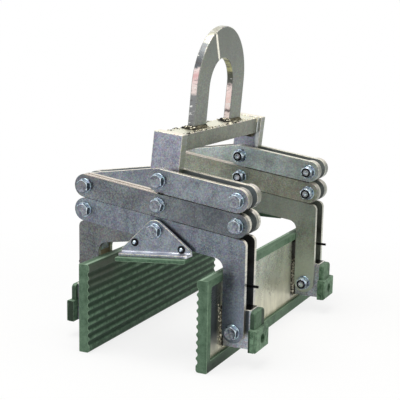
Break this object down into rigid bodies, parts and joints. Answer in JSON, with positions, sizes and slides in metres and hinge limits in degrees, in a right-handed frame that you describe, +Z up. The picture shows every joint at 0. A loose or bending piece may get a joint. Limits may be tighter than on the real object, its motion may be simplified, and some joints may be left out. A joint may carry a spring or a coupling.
{
  "type": "scissor slab lifter",
  "caption": "Scissor slab lifter: paired lazy-tongs bars close ribbed rubber jaws as the lifting eye is raised, with a swinging yoke and level slab rests.",
  "frame": {"origin": "on the floor under the middle of the part, at the bottom centre of its bounding box", "axes": "+Z up to the lifting eye, X across the opening between the jaws, Y along the jaws with the front at -Y"},
  "size_m": [0.424, 0.6, 0.6351],
  "materials": {
    "galvanised_steel": "mottled bright galvanising",
    "bright_zinc": "bright zinc plate",
    "jaw_steel": "worn galvanising",
    "green_rubber": "matt moulded rubber"
  },
  "bodies": {
    "top_pivot": {"top_pivot_bolts": "bright_zinc", "top_pivot_nuts": "bright_zinc"},
    "yoke": {"crossbar": "galvanised_steel", "lifting_eye": "galvanised_steel", "yoke_plate_front": "galvanised_steel", "yoke_plate_rear": "galvanised_steel"},
    "right_links": {"right_link_bolts": "bright_zinc", "right_link_front_1": "galvanised_steel", "right_link_front_2": "galvanised_steel", "right_link_nuts": "bright_zinc", "right_link_rear_1": "galvanised_steel", "right_link_rear_2": "galvanised_steel", "right_link_spacers": "galvanised_steel"},
    "left_links": {"left_link_bolts": "bright_zinc", "left_link_front_1": "galvanised_steel", "left_link_front_2": "galvanised_steel", "left_link_nuts": "bright_zinc", "left_link_rear_1": "galvanised_steel", "left_link_rear_2": "galvanised_steel", "left_link_spacers": "galvanised_steel"},
    "right_bars": {"right_bar_bolts": "bright_zinc", "right_bar_front_1": "galvanised_steel", "right_bar_front_2": "galvanised_steel", "right_bar_nuts": "bright_zinc", "right_bar_rear_1": "galvanised_steel", "right_bar_rear_2": "galvanised_steel", "right_bar_spacers": "galvanised_steel"},
    "left_bars": {"left_bar_bolts": "bright_zinc", "left_bar_front_1": "galvanised_steel", "left_bar_front_2": "galvanised_steel", "left_bar_nuts": "bright_zinc", "left_bar_rear_1": "galvanised_steel", "left_bar_rear_2": "galvanised_steel", "left_bar_spacers": "galvanised_steel"},
    "right_legs": {"right_leg_bolts": "bright_zinc", "right_leg_front_1": "galvanised_steel", "right_leg_front_2": "galvanised_steel", "right_leg_nuts": "bright_zinc", "right_leg_rear_1": "galvanised_steel", "right_leg_rear_2": "galvanised_steel", "right_leg_spacers": "galvanised_steel"},
    "left_legs": {"left_leg_bolts": "bright_zinc", "left_leg_front_1": "galvanised_steel", "left_leg_front_2": "galvanised_steel", "left_leg_nuts": "bright_zinc", "left_leg_rear_1": "galvanised_steel", "left_leg_rear_2": "galvanised_steel", "left_leg_spacers": "galvanised_steel"},
    "right_jaw": {"right_jaw_buffers": "green_rubber", "right_jaw_liner": "green_rubber", "right_jaw_lugs": "galvanised_steel", "right_jaw_plate": "jaw_steel"},
    "left_jaw": {"left_jaw_buffers": "green_rubber", "left_jaw_liner": "green_rubber", "left_jaw_lugs": "galvanised_steel", "left_jaw_plate": "jaw_steel"},
    "front_rest": {"rest_pad_front": "green_rubber", "rest_plate_front": "galvanised_steel"},
    "rear_rest": {"rest_pad_rear": "green_rubber", "rest_plate_rear": "galvanised_steel"}
  },
  "joints": [
    {"name": "tongs", "type": "hinge", "parent": "top_pivot", "child": "right_links", "pos_m": [0, 0, 0.3437], "axis": [0, 1, 0], "range_deg": [0, 13.5]},
    {"name": "left_link_hinge", "type": "hinge", "parent": "top_pivot", "child": "left_links", "pos_m": [0, 0, 0.3437], "axis": [0, 1, 0], "range_deg": [-13.5, 0]},
    {"name": "right_upper_hinge", "type": "hinge", "parent": "right_links", "child": "left_bars", "pos_m": [0.16327, 0, 0.31985], "axis": [0, 1, 0], "range_deg": [-27, 0]},
    {"name": "left_upper_hinge", "type": "hinge", "parent": "left_links", "child": "right_bars", "pos_m": [-0.16327, 0, 0.31985], "axis": [0, 1, 0], "range_deg": [0, 27]},
    {"name": "left_lower_hinge", "type": "hinge", "parent": "left_bars", "child": "right_legs", "pos_m": [-0.16327, 0, 0.27215], "axis": [0, 1, 0], "range_deg": [0, 27]},
    {"name": "right_lower_hinge", "type": "hinge", "parent": "right_bars", "child": "left_legs", "pos_m": [0.16327, 0, 0.27215], "axis": [0, 1, 0], "range_deg": [-27, 0]},
    {"name": "right_jaw_swivel", "type": "hinge", "parent": "right_legs", "child": "right_jaw", "pos_m": [0.161, 0, 0.0673], "axis": [0, 1, 0], "range_deg": [-13.5, 0]},
    {"name": "left_jaw_swivel", "type": "hinge", "parent": "left_legs", "child": "left_jaw", "pos_m": [-0.161, 0, 0.0673], "axis": [0, 1, 0], "range_deg": [0, 13.5]},
    {"name": "front_rest_swivel", "type": "hinge", "parent": "right_legs", "child": "front_rest", "pos_m": [0, 0, 0.2483], "axis": [0, 1, 0], "range_deg": [-13.5, 0]},
    {"name": "rear_rest_swivel", "type": "hinge", "parent": "right_legs", "child": "rear_rest", "pos_m": [0, 0, 0.2483], "axis": [0, 1, 0], "range_deg": [-13.5, 0]},
    {"name": "yoke_swing", "type": "hinge", "parent": "top_pivot", "child": "yoke", "pos_m": [0, 0, 0.3437], "axis": [0, 1, 0], "range_deg": [-12, 0]}
  ],
  "couplings": [
    {"joint": "left_link_hinge", "follows": "tongs", "ratio": -1},
    {"joint": "right_upper_hinge", "follows": "tongs", "ratio": -2},
    {"joint": "left_upper_hinge", "follows": "tongs", "ratio": 2},
    {"joint": "left_lower_hinge", "follows": "tongs", "ratio": 2},
    {"joint": "right_lower_hinge", "follows": "tongs", "ratio": -2},
    {"joint": "right_jaw_swivel", "follows": "tongs", "ratio": -1},
    {"joint": "left_jaw_swivel", "follows": "tongs", "ratio": 1},
    {"joint": "front_rest_swivel", "follows": "tongs", "ratio": -1},
    {"joint": "rear_rest_swivel", "follows": "tongs", "ratio": -1}
  ]
}
